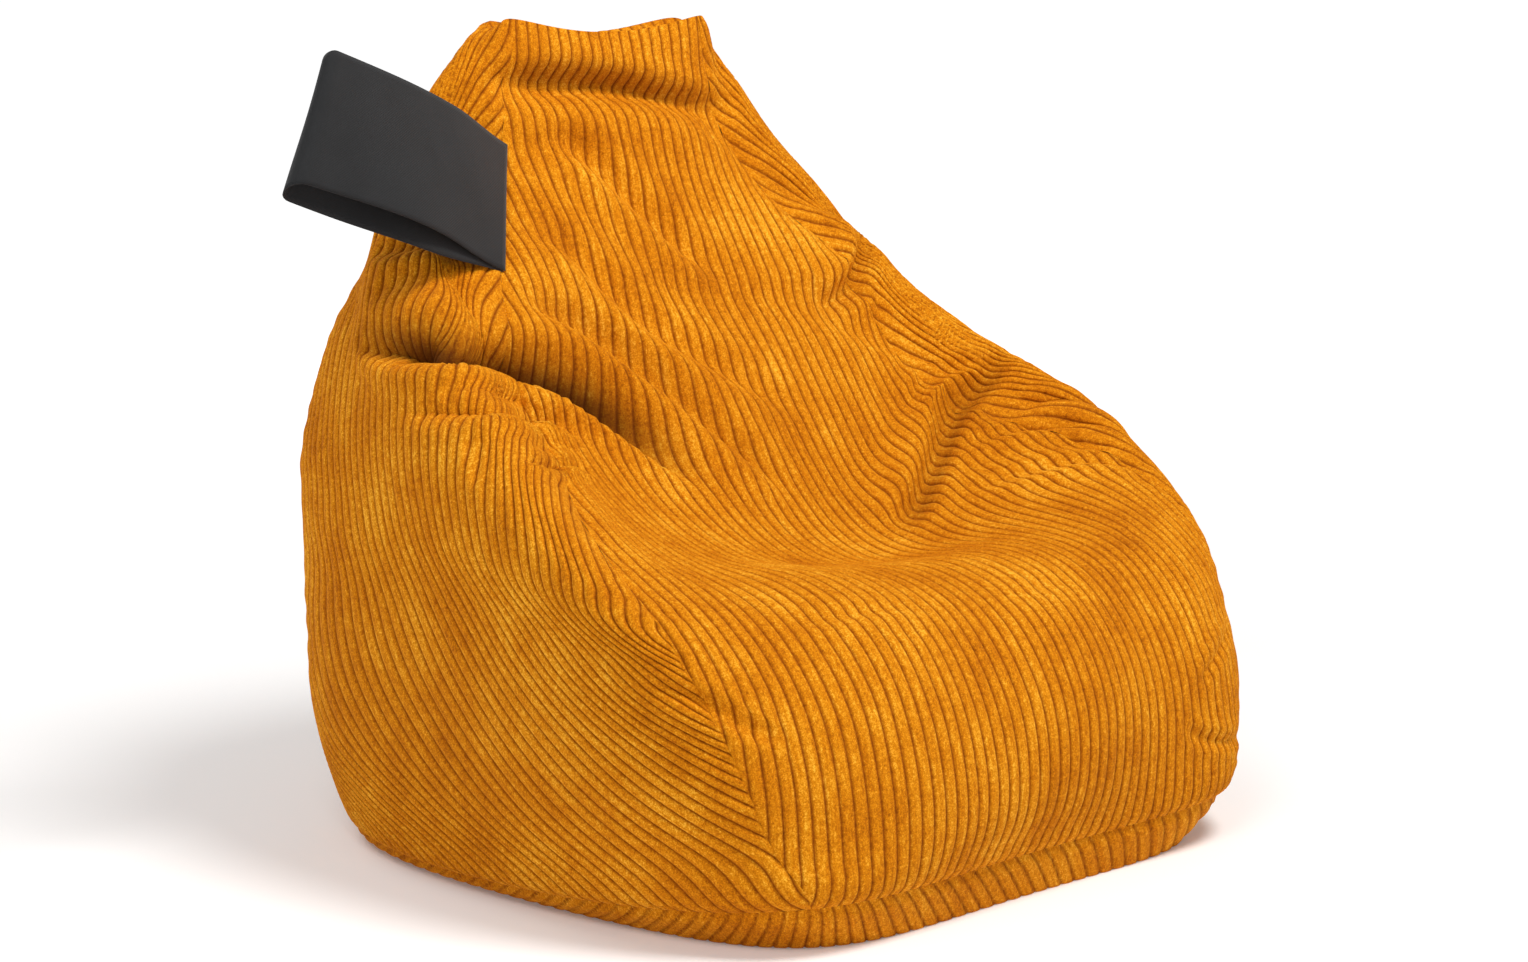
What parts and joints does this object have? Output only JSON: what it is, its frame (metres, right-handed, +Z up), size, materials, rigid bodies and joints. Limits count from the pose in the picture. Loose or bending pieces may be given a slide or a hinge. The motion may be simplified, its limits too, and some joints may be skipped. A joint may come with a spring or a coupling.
{
  "type": "bean bag chair",
  "caption": "Teardrop bean bag chair in wide-wale corduroy gores, with a seat hollow, leaning back, flat base, inner liner of bead filling, back zip and a blank folded side label.",
  "frame": {"origin": "on the floor, under the middle of the base panel", "axes": "+Z up, the sitter faces -Y, +X to the sitter's left"},
  "size_m": [0.9077, 0.7824, 0.8244],
  "materials": {
    "corduroy": "wide-wale cotton corduroy, mustard, cut pile",
    "binding_tape": "woven twill tape",
    "liner_cloth": "thin non-woven polyester",
    "bead_filling": "expanded polystyrene beads",
    "label_ribbon": "blank woven ribbon, charcoal",
    "care_ribbon": "blank white satin ribbon",
    "zip_tape": "woven zip tape, mustard",
    "zip_coil": "nylon coil",
    "zip_metal": "lacquered die-cast zinc"
  },
  "bodies": {
    "bag": {"front_panel": "corduroy", "left_panel": "corduroy", "back_panel": "corduroy", "right_panel": "corduroy", "base_panel": "corduroy", "top_panel": "corduroy", "seam_binding_front_left": "binding_tape", "seam_binding_back_left": "binding_tape", "seam_binding_back_right": "binding_tape", "seam_binding_front_right": "binding_tape", "seam_binding_base": "binding_tape", "seam_binding_top": "binding_tape", "inner_liner": "liner_cloth", "bean_filling": "bead_filling", "care_label": "care_ribbon", "zip_tape_back": "zip_tape", "zip_tape_side": "zip_tape", "zip_coil_back": "zip_coil", "zip_coil_side": "zip_coil", "zip_top_stops": "zip_metal", "zip_bottom_stop": "zip_metal"},
    "side_label": {"side_label": "label_ribbon"},
    "zip_slider": {"zip_slider": "zip_metal"},
    "zip_pull": {"zip_pull": "zip_metal"}
  },
  "joints": [
    {"name": "label_flap", "type": "hinge", "parent": "bag", "child": "side_label", "pos_m": [-0.19689, 0.17216, 0.64011], "axis": [0.4591, 0.4922, 0.7396], "range_deg": [0, 100], "stiffness_Nm_per_rad": 0.3},
    {"name": "zip_slide", "type": "slide", "parent": "bag", "child": "zip_slider", "axis": [0, 0, -1], "range_m": [0, 0.2]},
    {"name": "pull_swing", "type": "hinge", "parent": "zip_slider", "child": "zip_pull", "pos_m": [0.32944, 0.33938, 0.3925], "axis": [0.7032, -0.711, 0], "range_deg": [0, 165]}
  ]
}
